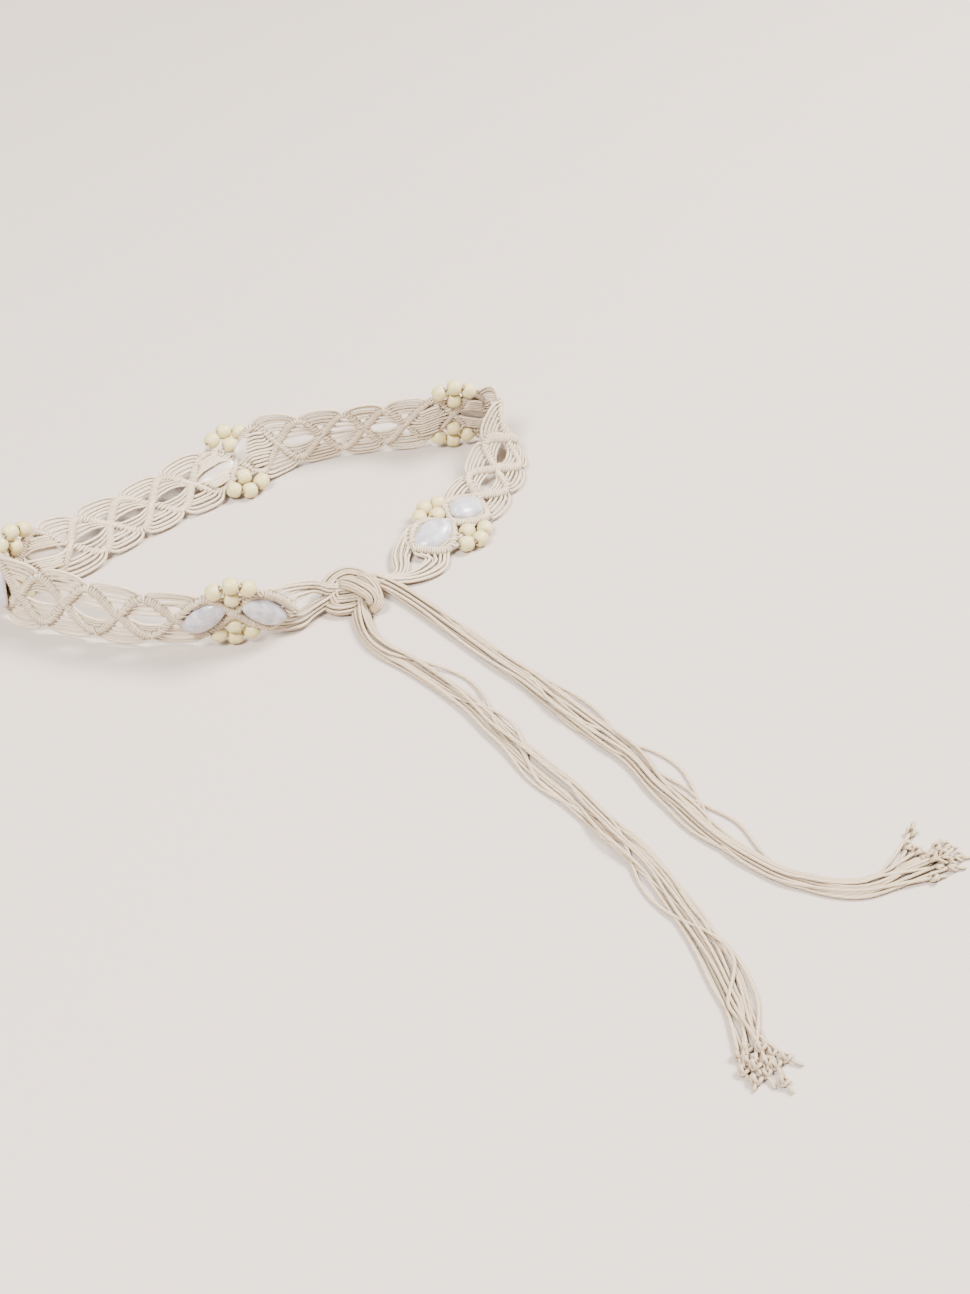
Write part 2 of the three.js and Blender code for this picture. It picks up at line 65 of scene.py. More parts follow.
# Sizes of the loop, the band, its beads and its stones, in millimetres
LOOP_LENGTH = 320
LOOP_WIDTH = 215
CORD = 2.0
RIB_REACH = 15.5
SCALLOP_REACH = 23.6
BEAD_DIAMETER = 10.0
BEAD_REACH = 23.2
STONE_LENGTH = 31
STONE_WIDTH = 20.6
STONE_THICK = 7.6
STONE_BACK = -0.3
CELLS = 22
# The pattern of beads and stones repeats after this many cells
REPEAT = 5
# A rib bows out by a sine to this power, and the cords that leave it start this far outside it
RIB_CURVE = 1.25
RIB_OUTSIDE = 1.2

# The frame's origin from the middle of the loop, in millimetres
ORIGIN = (0.07, -0.42)

# Room under the band's lowest cord, more of it where the band leans, and room under a low bead
CORD_CLEAR = 0.4
LEAN_CLEAR = 3
BEAD_CLEAR = 0.1
# Beads hold the band up this far from their crossing, and less and less from there on, in cells
BEADS_HOLD = 0.35
BEADS_FADE = 0.3
# The middle of a loose cord lies at least this high
LOWEST = 1.02

# The line that the band follows: cell count, shares of the loop's length and width, lean of the
# top edge outward in degrees and share of the full width
ROUTE = [
    (0, 0.064, -0.432, 8, 0.95),
    (1, -0.044, -0.484, 12, 1),
    (2, -0.149, -0.489, 12, 1),
    (3, -0.254, -0.475, 2, 1),
    (4, -0.357, -0.427, -5, 1),
    (5, -0.445, -0.387, -8, 1),
    (5.5, -0.48, -0.339, -3, 1),
    (6, -0.463, -0.27, 4, 0.97),
    (7, -0.385, -0.128, 45, 0.88),
    (8, -0.323, 0.004, 65, 0.86),
    (9, -0.251, 0.108, 68, 0.86),
    (10, -0.178, 0.203, 65, 0.9),
    (11, -0.092, 0.29, 58, 0.96),
    (12, -0.01, 0.345, 14, 0.92),
    (13, 0.078, 0.398, -3, 0.88),
    (14, 0.165, 0.433, -5, 0.88),
    (15, 0.25, 0.453, -6, 0.9),
    (16, 0.35, 0.468, -9, 1),
    (17, 0.43, 0.503, -8, 1),
    (17.5, 0.456, 0.463, -16, 0.96),
    (18, 0.458, 0.4, -42, 0.9),
    (19, 0.437, 0.3, -76, 0.86),
    (20, 0.4, 0.178, -85, 0.9),
    (21, 0.35, 0.037, -85, 0.97),
    (22, 0.273, -0.08, -85, 0.92),
]

# The knot's middle as shares of the loop, and each tail's middle line from there
KNOT_AT = (0.169, -0.3)
TAIL_NEAR = [
    (3, -1, 8), (5, -17, 5), (11, -34, 4), (21, -46), (33, -55), (45, -66), (57, -78),
    (72, -94), (86, -114), (100, -132), (112, -147), (124, -161), (137, -179), (150, -196),
    (156, -203), (167, -220), (177, -239), (186, -258), (193, -276), (198, -293), (202, -311),
    (205, -324), (207, -335),
]
TAIL_FAR = [
    (1, 15, 9), (11, 16, 8), (22, 13, 5), (33, 4, 4), (45, -8), (57, -21), (72, -37),
    (90, -56), (105, -70), (119, -87), (133, -104), (147, -120), (160, -136), (172, -157),
    (184, -172), (196, -189), (209, -203), (221, -213), (235, -223), (241, -225), (256, -230),
    (272, -231), (288, -226), (302, -219), (312, -214),
]
TAIL_HALF_HEIGHT = 3.7


def smooth(t):
    return t * t * (3 - 2 * t)


def from_route(u, column):
    """One column of the route at u, on a smooth curve through its rows."""
    i = 0
    while i < len(ROUTE) - 2 and u > ROUTE[i + 1][0]:
        i += 1

    def slope(j):
        a = ROUTE[max(j - 1, 0)]
        b = ROUTE[min(j + 1, len(ROUTE) - 1)]
        return (b[column] - a[column]) / (b[0] - a[0])

    span = ROUTE[i + 1][0] - ROUTE[i][0]
    t = (u - ROUTE[i][0]) / span
    s = smooth(t)
    bend = t * (1 - t) * span
    return (
        ROUTE[i][column] * (1 - s)
        + ROUTE[i + 1][column] * s
        + bend * (slope(i) * (1 - t) - slope(i + 1) * t)
    )


def station_row(u):
    """x, y, outward x and y, lean, spread, local length of a cell and the band's mid height."""
    at = min(max(u, 0), CELLS)
    low = max(at - 0.01, 0)
    high = min(at + 0.01, CELLS)
    dx = (from_route(high, 1) - from_route(low, 1)) * LOOP_LENGTH
    dy = (from_route(high, 2) - from_route(low, 2)) * LOOP_WIDTH
    length = math.hypot(dx, dy)
    x = from_route(at, 1) * LOOP_LENGTH + (u - at) * dx / (high - low) - ORIGIN[0]
    y = from_route(at, 2) * LOOP_WIDTH + (u - at) * dy / (high - low) - ORIGIN[1]
    lean = math.radians(from_route(at, 3))
    spread = from_route(at, 4)
    down = math.cos(lean) * spread
    on_cords = SCALLOP_REACH * down + CORD_CLEAR + LEAN_CLEAR * abs(math.sin(lean))
    on_beads = BEAD_REACH * down + BEAD_DIAMETER / 2 + BEAD_CLEAR
    nearest = round((u - 1) / REPEAT) * REPEAT + 1
    beads = 1 - smooth(min(max((abs(u - nearest) - BEADS_HOLD) / BEADS_FADE, 0), 1))
    height = on_cords + (on_beads - on_cords) * beads
    return (x, y, -dy / length, dx / length, lean, spread, length / (high - low), height)


U_SAMPLES = np.linspace(-1, CELLS + 1, (CELLS + 2) * 60 + 1)
STATIONS = np.array([station_row(u) for u in U_SAMPLES])
SPREAD_COLUMN = 5
PITCH_COLUMN = 6


def station(u):
    return [np.interp(u, U_SAMPLES, column) for column in STATIONS.T]


def place(pattern):
    """Maps pattern rows (u, v, n) to points of the lying band, in millimetres."""
    pattern = np.atleast_2d(np.asarray(pattern, float))
    x, y, out_x, out_y, lean, spread, _, height = station(pattern[:, 0])
    wide = pattern[:, 1] * spread
    across = wide * np.sin(lean) + pattern[:, 2] * np.cos(lean)
    z = height + wide * np.cos(lean) - pattern[:, 2] * np.sin(lean)
    return np.stack([x + out_x * across, y + out_y * across, z], 1)


def pitch_at(u):
    """The length of a cell at u, in millimetres."""
    return float(station(u)[PITCH_COLUMN])


def has_beads(crossing):
    return crossing % REPEAT == 1


def has_stone(cell):
    return cell % REPEAT < 2


def rib_line(t):
    """How far a rib lies from the band's middle at the share t of its cell."""
    return RIB_REACH * np.abs(np.sin(np.pi * np.asarray(t, float))) ** RIB_CURVE


# Paths and tubes


def spline(points, step):
    """Centripetal Catmull-Rom through the points, resampled evenly at about the step."""
    p = np.asarray(points, float)
    ends = np.vstack([2 * p[0] - p[1], p, 2 * p[-1] - p[-2]])
    gaps = np.linalg.norm(np.diff(ends, axis=0), axis=1)
    knots = np.concatenate([[0], np.cumsum(np.maximum(gaps, 1e-6) ** 0.5)])
    pieces = []
    for i in range(1, len(ends) - 2):
        t0, t1, t2, t3 = knots[i - 1 : i + 3]
        p0, p1, p2, p3 = ends[i - 1 : i + 3]
        t = np.linspace(t1, t2, 9)[:-1, None]
        a1 = (t1 - t) / (t1 - t0) * p0 + (t - t0) / (t1 - t0) * p1
        a2 = (t2 - t) / (t2 - t1) * p1 + (t - t1) / (t2 - t1) * p2
        a3 = (t3 - t) / (t3 - t2) * p2 + (t - t2) / (t3 - t2) * p3
        b1 = (t2 - t) / (t2 - t0) * a1 + (t - t0) / (t2 - t0) * a2
        b2 = (t3 - t) / (t3 - t1) * a2 + (t - t1) / (t3 - t1) * a3
        pieces.append((t2 - t) / (t2 - t1) * b1 + (t - t1) / (t2 - t1) * b2)
    return resample(np.vstack(pieces + [p[-1:]]), step)


def length_at(points):
    """How far along its path each point lies."""
    return np.concatenate([[0], np.cumsum(np.linalg.norm(np.diff(points, axis=0), axis=1))])


def resample(dense, step):
    length = length_at(dense)
    count = max(int(math.ceil(length[-1] / step)), 2)
    at = np.linspace(0, length[-1], count + 1)
    return np.stack([np.interp(at, length, dense[:, i]) for i in range(3)], 1)


def frames_along(points, closed):
    """Two unit normals per point, square to the path and carried along it without twist."""
    if closed:
        tangents = np.roll(points, -1, 0) - np.roll(points, 1, 0)
    else:
        tangents = np.gradient(points, axis=0)
    tangents /= np.maximum(np.linalg.norm(tangents, axis=1, keepdims=True), 1e-9)
    start = np.array([0, 0, 1.0]) if abs(tangents[0][2]) < 0.9 else np.array([1.0, 0, 0])
    normal = start - tangents[0] * (start @ tangents[0])
    normal /= np.linalg.norm(normal)
    normals = [normal]
    for tangent in tangents[1:]:
        normal = normal - tangent * (normal @ tangent)
        normal = normal / max(np.linalg.norm(normal), 1e-9)
        normals.append(normal)
    normals = np.array(normals)
    return normals, np.cross(tangents, normals)


def set_values(mesh, name, values):
    layer = mesh.attributes.new(name, "FLOAT", "POINT")
    layer.data.foreach_set("value", np.asarray(values, np.float32))


def add_object(name, mesh, material):
    mesh.polygons.foreach_set("use_smooth", [True] * len(mesh.polygons))
    mesh.materials.append(material)
    piece = bpy.data.objects.new(name, mesh)
    bpy.context.scene.collection.objects.link(piece)
    return piece


def stand_for(piece, node):
    """Puts a piece on the belt's one body, in place of a CAD node."""
    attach(piece, "root")
    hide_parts(node)


# A cord's cut ends are this share of its width
END_TAPER = 0.55


class Tubes:
    """Collects many cords into one mesh, with UV in metres along and turns around each cord."""

    def __init__(self, name, seed):
        self.name = name
        self.verts = []
        self.faces = []
        self.uvs = []
        self.tones = []
        self.count = 0
        self.random = random.Random(seed)

    def add(self, points, radius=CORD / 2, sides=8, closed=False):
        points = np.asarray(points, float)
        rings = len(points)
        normal, up = frames_along(points, closed)
        angles = np.arange(sides) / sides * 2 * math.pi
        radii = np.full(rings, float(radius))
        if not closed:
            radii[[0, -1]] *= END_TAPER
        ring = (
            np.cos(angles)[None, :, None] * normal[:, None, :]
            + np.sin(angles)[None, :, None] * up[:, None, :]
        )
        verts = points[:, None, :] + radii[:, None, None] * ring
        self.verts.append(verts.reshape(-1, 3) * MM)

        i = np.arange(rings if closed else rings - 1)[:, None]
        j = np.arange(sides)[None, :]
        after = (i + 1) % rings
        beside = (j + 1) % sides
        here = self.count + i * sides
        there = self.count + after * sides
        quads = np.stack([here + j, here + beside, there + beside, there + j], -1)
        self.faces.append(quads.reshape(-1, 4))

        length = length_at(points) * MM
        along = length + self.random.random()
        u0 = along[i] + 0 * j
        u1 = np.where(after > i, along[after], along[-1] + length[1]) + 0 * j
        v0 = j / sides + 0 * i
        v1 = (j + 1) / sides + 0 * i
        corners = [(u0, v0), (u0, v1), (u1, v1), (u1, v0)]
        uv = np.stack([np.stack(corner, -1) for corner in corners], 2)
        self.uvs.append(uv.reshape(-1, 2))
        if not closed:
            for end, order in ((0, -1), (rings - 1, 1)):
                cap = self.count + end * sides + np.arange(sides)[::order]
                self.faces.append(cap[None, :])
                self.uvs.append(np.tile([along[end], 0.5], (sides, 1)))
        self.tones.append(np.full(rings * sides, self.random.random()))
        self.count += rings * sides

    def build(self, material):
        mesh = bpy.data.meshes.new(self.name)
        faces = [face.tolist() for block in self.faces for face in block]
        mesh.from_pydata(np.vstack(self.verts).tolist(), [], faces)
        layer = mesh.uv_layers.new(name="UVMap")
        layer.data.foreach_set("uv", np.vstack(self.uvs).astype(np.float32).ravel())
        set_values(mesh, "tone", np.concatenate(self.tones))
        mesh.update()
        return add_object(self.name, mesh, material)


# Materials


def node_group(name, inputs, outputs):
    group = bpy.data.node_groups.new(name, "ShaderNodeTree")
    for label, value in inputs.items():
        socket = group.interface.new_socket(label, in_out="INPUT", socket_type="NodeSocketFloat")
        socket.default_value = value
    for label in outputs:
        group.interface.new_socket(label, in_out="OUTPUT", socket_type="NodeSocketFloat")
    return group, group.nodes.new("NodeGroupInput"), group.nodes.new("NodeGroupOutput")


def math_node(tree, operation, a, b=None, c=None):
    node = tree.nodes.new("ShaderNodeMath")
    node.operation = operation
    for i, value in enumerate((a, b, c)):
        if value is None:
            continue
        if isinstance(value, (int, float)):
            node.inputs[i].default_value = value
        else:
            tree.links.new(value, node.inputs[i])
    return node.outputs[0]


def mix_colour(tree, factor, a, b):
    node = tree.nodes.new("ShaderNodeMix")
    node.data_type = "RGBA"
    for socket, value in ((node.inputs[0], factor), (node.inputs[6], a), (node.inputs[7], b)):
        if isinstance(value, (tuple, int, float)):
            socket.default_value = value
        else:
            tree.links.new(value, socket)
    return node.outputs[2]


def object_coords(tree):
    return tree.nodes.new("ShaderNodeTexCoord").outputs["Object"]


def attribute(tree, name):
    node = tree.nodes.new("ShaderNodeAttribute")
    node.attribute_name = name
    return node.outputs["Fac"]


def noise(tree, where, scale, detail, roughness=0.5, distortion=0):
    node = tree.nodes.new("ShaderNodeTexNoise")
    node.inputs["Scale"].default_value = scale
    node.inputs["Detail"].default_value = detail
    node.inputs["Roughness"].default_value = roughness
    node.inputs["Distortion"].default_value = distortion
    tree.links.new(where, node.inputs["Vector"])
    return node.outputs[0]


def clamped(tree, value, above, times):
    """Zero up to a level, then rising to one."""
    result = math_node(tree, "MULTIPLY", math_node(tree, "SUBTRACT", value, above), times)
    result.node.use_clamp = True
    return result


def twisted_cord_group():
    """Height and shade of a cord laid up from three soft plies, from its own UV."""
    group, group_in, group_out = node_group(
        "twisted_cord", {"Lay": 0.0062, "Plies": 3.0}, ["Height", "Shade"]
    )
    uv = group.nodes.new("ShaderNodeUVMap")
    uv.uv_map = "UVMap"
    split = group.nodes.new("ShaderNodeSeparateXYZ")
    group.links.new(uv.outputs[0], split.inputs[0])
    along, around, _ = split.outputs
    turns = math_node(group, "DIVIDE", along, group_in.outputs["Lay"])
    phase = math_node(group, "MULTIPLY_ADD", around, group_in.outputs["Plies"], turns)
    wave = math_node(group, "SINE", math_node(group, "MULTIPLY", phase, 2 * math.pi))
    ply = math_node(group, "POWER", math_node(group, "MULTIPLY_ADD", wave, 0.5, 0.5), 0.6)
    fuzz = noise(group, object_coords(group), 2600, 3)
    fibre_at = group.nodes.new("ShaderNodeCombineXYZ")
    group.links.new(math_node(group, "MULTIPLY", along, 420), fibre_at.inputs[0])
    group.links.new(math_node(group, "MULTIPLY", phase, 6), fibre_at.inputs[1])
    fibre = noise(group, fibre_at.outputs[0], 1, 2)
    hairs = math_node(group, "MULTIPLY_ADD", fuzz, 0.35, math_node(group, "MULTIPLY", fibre, 0.35))
    height = math_node(group, "MULTIPLY_ADD", ply, 0.6, hairs)
    shade = math_node(group, "MULTIPLY_ADD", ply, 0.6, math_node(group, "MULTIPLY", fibre, 0.4))
    group.links.new(height, group_out.inputs["Height"])
    group.links.new(shade, group_out.inputs["Shade"])
    return group


def new_material(name, settings):
    material = bpy.data.materials.new(name)
    material.use_nodes = True
    shader = material.node_tree.nodes["Principled BSDF"]
    for label, value in settings.items():
        shader.inputs[label].default_value = value
    return material, material.node_tree, shader


def link_bump(tree, shader, height, strength, distance):
    bump = tree.nodes.new("ShaderNodeBump")
    bump.inputs["Strength"].default_value = strength
    bump.inputs["Distance"].default_value = distance
    tree.links.new(height, bump.inputs["Height"])
    tree.links.new(bump.outputs[0], shader.inputs["Normal"])


# Painted shade: the furrows between a cord's plies and the gaps between neighbouring cords are
# darkened into the cord's colour; how far a gap's shade reaches in metres and how fast it darkens
FURROW_SHADE = (0.22, 0.145, 0.08, 1)
FURROW_SHADE_DEPTH = 0.42
GAP_SHADE = (0.13, 0.09, 0.055, 1)
GAP_SHADE_REACH = 0.0022
GAP_SHADE_CURVE = 1.3
CORD_GROUP = twisted_cord_group()


def cotton_material(name, light, dark, gap_shade_depth):
    material, tree, shader = new_material(
        name,
        {
            "Roughness": 0.88,
            "Specular IOR Level": 0.25,
            "Sheen Weight": 0.05,
            "Sheen Roughness": 0.5,
        },
    )
    cord = tree.nodes.new("ShaderNodeGroup")
    cord.node_tree = CORD_GROUP
    mottle = math_node(tree, "MULTIPLY", noise(tree, object_coords(tree), 90, 2), 0.5)
    blend = math_node(tree, "MULTIPLY_ADD", attribute(tree, "tone"), 0.35, mottle)
    base = mix_colour(tree, blend, light, dark)
    # Painted shade in the furrows between the plies
    hollow = math_node(tree, "SUBTRACT", 1.0, cord.outputs["Shade"])
    furrow_shade_amount = math_node(tree, "MULTIPLY", hollow, FURROW_SHADE_DEPTH)
    furrow_shaded = mix_colour(tree, furrow_shade_amount, base, FURROW_SHADE)
    # Painted shade in the gaps between cords, where the occlusion test finds neighbours close by
    shade_occlusion = tree.nodes.new("ShaderNodeAmbientOcclusion")
    shade_occlusion.samples = 6
    shade_occlusion.inputs["Distance"].default_value = GAP_SHADE_REACH
    unshaded_share = math_node(tree, "POWER", shade_occlusion.outputs["AO"], GAP_SHADE_CURVE)
    gap_shade_amount = math_node(tree, "MULTIPLY", math_node(tree, "SUBTRACT", 1.0, unshaded_share), gap_shade_depth)
    tree.links.new(mix_colour(tree, gap_shade_amount, furrow_shaded, GAP_SHADE), shader.inputs["Base Color"])
    link_bump(tree, shader, cord.outputs["Height"], 0.7, 0.0003)
    return material


COTTON = cotton_material("cotton_cord", (0.8, 0.67, 0.505, 1), (0.58, 0.465, 0.32, 1), 0.82)
# A darker copy of the same cotton: painted shade for the knot and the tails, whose loosely laid cords
# shade each other
SHADED_COTTON = cotton_material(
    "shaded_cotton_cord", (0.68, 0.545, 0.385, 1), (0.46, 0.345, 0.22, 1), 0.95
)

WOOD_LIGHT = (0.66, 0.57, 0.285, 1)
WOOD_DARK = (0.60, 0.485, 0.205, 1)
WOOD_STREAK = (0.46, 0.34, 0.17, 1)
# Painted shade: the inside of a bead's bore is coloured dark brown
BORE_SHADE = (0.32, 0.16, 0.055, 1)


def bead_material():
    material, tree, shader = new_material(
        "pale_wood",
        {
            "Roughness": 0.42,
            "Subsurface Weight": 0.08,
            "Subsurface Radius": (0.004, 0.0025, 0.001),
        },
    )
    grain_at = tree.nodes.new("ShaderNodeMapping")
    grain_at.inputs["Scale"].default_value = (900, 260, 500)
    tree.links.new(object_coords(tree), grain_at.inputs["Vector"])
    grain = noise(tree, grain_at.outputs[0], 1, 4, roughness=0.6)
    tone = math_node(tree, "MULTIPLY", attribute(tree, "tone"), 0.6)
    base = mix_colour(tree, tone, WOOD_LIGHT, WOOD_DARK)
    streak = math_node(tree, "MULTIPLY", math_node(tree, "POWER", grain, 2.2), 0.7)
    grained = mix_colour(tree, streak, base, WOOD_STREAK)
    # Painted shade inside the bore
    coloured = mix_colour(tree, attribute(tree, "hole"), grained, BORE_SHADE)
    tree.links.new(coloured, shader.inputs["Base Color"])
    link_bump(tree, shader, grain, 0.15, 0.0002)
    return material


STONE_GREY = (0.37, 0.35, 0.39, 1)
STONE_WHITE = (0.66, 0.635, 0.655, 1)
STONE_MARK = (0.32, 0.29, 0.27, 1)
STONE_BACK_BEIGE = (0.55, 0.475, 0.40, 1)


def stone_material():
    material, tree, shader = new_material(
        "milky_stone",
        {
            "Roughness": 0.32,
            "Subsurface Weight": 0.35,
            "Subsurface Radius": (0.004, 0.004, 0.005),
            "Coat Weight": 0.3,
            "Coat Roughness": 0.15,
        },
    )
    where = object_coords(tree)
    cloud = noise(tree, where, 150, 4, distortion=0.8)
    vein = noise(tree, where, 260, 6, distortion=2.5)
    clouded = mix_colour(tree, clamped(tree, cloud, 0.32, 2.2), STONE_GREY, STONE_WHITE)
    mark = math_node(tree, "MULTIPLY", clamped(tree, vein, 0.58, 5), 0.45)
    marked = mix_colour(tree, mark, clouded, STONE_MARK)
    coloured = mix_colour(tree, attribute(tree, "back"), marked, STONE_BACK_BEIGE)
    tree.links.new(coloured, shader.inputs["Base Color"])
    link_bump(tree, shader, cloud, 0.08, 0.0006)
    return material


WOOD = bead_material()
MILKY_STONE = stone_material()

# The band's cords

rng = random.Random(11)


def jitter(amount):
    return amount * (rng.random() - 0.5) * 2


# Hitches on a rib: spacing along it, half width and half height of the loops, how much they slant
# and vary, and how far they rise at a crossing. A rib that rises along the band passes over the
# one that falls.
OVER_RIB = {
    "pitch": 1.5, "half_width": 2.3, "half_height": 1.8, "slant": 0.25, "uneven": 0.02, "lift": 0.6,
}
UNDER_RIB = {
    "pitch": 2.35, "half_width": 2.0, "half_height": 1.5, "slant": 1.0, "uneven": 0.14, "lift": -0.25,
}
WRAP_RADIUS = 0.95
WRAP_TURN = np.arange(10) / 10 * 2 * math.pi
RIB_MIDDLE = 0.75
# A crossing lifts the hitches within its reach, and leaves out those of the under rib at its end
CROSSING_REACH = 5
UNDER_END = 2.6


def rib_wraps(tubes, cell, side):
    """The small hitches along one rib of one cell, each a loop of cord round the leader."""
    t = np.linspace(0, 1, 201)
    cell_length = pitch_at(cell + 0.5)
    along = length_at(place(np.stack([cell + t, side * rib_line(t), np.zeros_like(t)], 1)))
    half = along[-1] / 2
    for start in (0, half):
        rising = (start == 0) == (side > 0)
        style = OVER_RIB if rising else UNDER_RIB
        count = int(round(half / style["pitch"]))
        for k in range(count):
            at = start + (k + 0.5) * half / count
            from_end = min(at, along[-1] - at)
            if from_end < UNDER_END and not rising:
                continue
            lift = style["lift"] * max(1 - from_end / CROSSING_REACH, 0)
            tk = float(np.interp(at, along, t))
            slope_v = side * (rib_line(min(tk + 0.01, 1)) - rib_line(max(tk - 0.01, 0))) / 0.02
            direction = np.array([cell_length, float(slope_v)])
            direction /= np.linalg.norm(direction)
            across = np.array([-direction[1], direction[0]])
            odd = k % 2 == 1
            size = 1 + jitter(style["uneven"])
            size *= 1 + style["uneven"] * (0.7 if odd else -0.4)
            slant = style["slant"] * (1 if odd else 0.75) + jitter(0.12)
            wide = np.cos(WRAP_TURN) * style["half_width"] * size
            skew = np.cos(WRAP_TURN) * slant
            offset = np.outer(wide, across) + np.outer(skew, direction)
            u = cell + tk + offset[:, 0] / cell_length
            v = float(side * rib_line(tk)) + offset[:, 1]
            n = np.sin(WRAP_TURN) * style["half_height"] * size + RIB_MIDDLE + lift
            tubes.add(place(np.stack([u, v, n], 1)), WRAP_RADIUS, sides=6, closed=True)


LEADER_RADIUS = 1.95
LEADER_SWAY = 0.4


def leader(tubes, side):
    """One leader cord from end to end, hidden in its ribs."""
    u = np.linspace(0, CELLS, CELLS * 12 + 1)
    sign = np.where(np.floor(u + 1e-6) % 2 == 0, 1, -1) * side
    n = RIB_MIDDLE + LEADER_SWAY * side * np.cos(2 * np.pi * u)
    middle = place(np.stack([u, sign * rib_line(u), n], 1))
    tubes.add(spline(middle, step=2.4), LEADER_RADIUS)


# The cords at the front are drawn tighter than those of the back run
FRONT_CORD_RADIUS = 0.9
BACK_CORD_RADIUS = 1.04


def band_cord_radius(crossing):
    return FRONT_CORD_RADIUS if crossing < 5 or crossing > 17 else BACK_CORD_RADIUS


# Where the five working cords of a side meet the rib, as shares of a cell from its crossing, and
# how far out they go round the crossing on each side
HITCH = [0.19, 0.265, 0.335, 0.4, 0.465]
ARC_REACH = {1: [10.6, 13.6, 16.6, 19.5, 22.4], -1: [9.9, 12.9, 16.1, 19.3, 22.5]}
# Where the cords leave the near rib inside a diamond and behind a stone, and how far out they go
COMB_SPREAD = [0.09, 0.2, 0.31, 0.42]
COMB_RADIUS = 0.86
COMB_OUTER = 12.3
BACKING_SPREAD = [0.1, 0.18, 0.26, 0.34, 0.42]
BACKING_INNER = 1.25
BACKING_OUTER = 10.8
# Half heights of the eye left open in a diamond, above and below its middle line
EYES = {
    2: (1.6, 7.3), 3: (3, 7.6), 4: (5.6, 3.2), 7: (3.2, 3.6), 8: (3.4, 4), 9: (4, 4.4),
    12: (3.6, 4.4), 13: (0.9, 1.1), 14: (4, 4.6), 17: (3.5, 3.5), 18: (4.6, 4.6), 19: (5, 5.4),
}
# Stone cells whose back is left half open, so the stone shows inside the loop
OPEN_BACKS = {6: 4.2, 10: 4.6, 16: 4.4}
# The two cords along a stone: how far outside its edge they run, and how high
SETTING_CORDS = ((0.9, 1.1), (2.9, 0.7))
SETTING_OVERHANG = 0.6


def scallop(tubes, crossing, side):
    """Working cords that go round a crossing outside the ribs, one beyond the other."""
    for hitch, reach in zip(HITCH, ARC_REACH[side]):
        start = float(rib_line(hitch)) + RIB_OUTSIDE
        reach_here = reach + jitter(0.4)
        skew = jitter(0.025)
        s = np.linspace(-1, 1, 15)
        lift = np.maximum(1 - np.abs(s) ** 2.6, 0) ** 0.62
        v = side * (start + (reach_here - start) * lift)
        u = crossing + hitch * s + skew * lift
        n = 0.3 + jitter(0.5) * lift - 0.3 * (1 - lift)
        path = spline(place(np.stack([u, v, n], 1)), step=1.5)
        tubes.add(path, band_cord_radius(crossing))


def comb(tubes, cell, side):
    """Working cords of a diamond, spread along its near ribs and gathered at its far end."""
    edge = EYES[cell][0 if side > 0 else 1]
    for i, near in enumerate(COMB_SPREAD):
        near = near + jitter(0.008)
        place_in = i / (len(COMB_SPREAD) - 1)
        reach = edge + (COMB_OUTER - edge) * place_in**0.9 + jitter(0.2)
        far = 0.9 - 0.1 * place_in
        near_v = float(rib_line(near)) - 1.6
        far_v = max(float(rib_line(far)) - 2.2 - 1.2 * (1 - place_in), 0.6)
        rows = [
            (near - 0.015, near_v + 1.4, 0.5),
            (near + 0.035, near_v * 0.9 + reach * 0.1, 0.6 - 0.4 * place_in),
            (near + 0.12, near_v * 0.3 + reach * 0.7, 0.3 + 0.5 * place_in),
            (0.36 + 0.24 * place_in, reach, 0.1 + 0.6 * place_in),
            (0.62, reach * 0.86 + 0.5, 0.6 * place_in),
            (0.76, reach * 0.58 + far_v * 0.34, 0.3 * place_in),
            (far, far_v, 0.2),
            (far + 0.03, far_v * 0.8, -0.6),
        ]
        rows = sorted(rows, key=lambda row: row[0])
        pattern = [(cell + t, side * v, n + jitter(0.12)) for t, v, n in rows]
        tubes.add(spline(place(pattern), step=1.5), COMB_RADIUS)


def backing(tubes, cell, side):
    """Working cords that pass behind a stone."""
    edge = OPEN_BACKS.get(cell, BACKING_INNER)
    for i, near in enumerate(BACKING_SPREAD):
        place_in = i / (len(BACKING_SPREAD) - 1)
        reach = edge + (BACKING_OUTER - edge) * place_in + jitter(0.3)
        near_v = max(float(rib_line(near)) - 1.5, 0.8)
        rows = [
            (near, min(near_v, reach + 1), -0.4),
            (0.3, reach * 0.96, -1.7),
            (0.5, reach, -1.9),
            (0.7, reach * 0.96, -1.7),
            (1 - near, min(near_v, reach + 1), -0.4),
        ]
        pattern = [(cell + t, side * v, n) for t, v, n in rows]
        tubes.add(spline(place(pattern), step=1.8), band_cord_radius(cell))


def setting(tubes, cell, side):
    """Two cords that run along the edge of a stone and hold it, from tip to tip."""
    t = np.linspace(-1, 1, 13)
    half = STONE_WIDTH / 2 * np.maximum(1 - np.abs(t) ** 1.9, 0) ** 0.8
    u = cell + 0.5 + t * (STONE_LENGTH / 2 + SETTING_OVERHANG) / pitch_at(cell + 0.5)
    for out, n in SETTING_CORDS:
        v = side * (half + out * (0.55 + 0.45 * (1 - t**2)))
        path = spline(place(np.stack([u, v, np.full_like(t, n)], 1)), step=1.5)
        tubes.add(path, band_cord_radius(cell))


def crossing_frame(crossing):
    """A crossing's middle, and the unit directions along and across the band there."""
    low = place([[crossing - 0.02, 0, 0]])[0]
    high = place([[crossing + 0.02, 0, 0]])[0]
    along = high - low
    along[2] = 0
    along /= np.linalg.norm(along)
    across = place([[crossing, 1, 0]])[0] - place([[crossing, 0, 0]])[0]
    across /= np.linalg.norm(across)
    return place([[crossing, 0, 0]])[0], along, across


# Beads beside a crossing: place along the band, distance from its middle and turn in degrees
INNER_BEAD = (0, 12.4, 0)
ARC_BEADS = [(-9.7, 19.4, -32), (0, BEAD_REACH, 0), (9.7, 19.4, 32)]
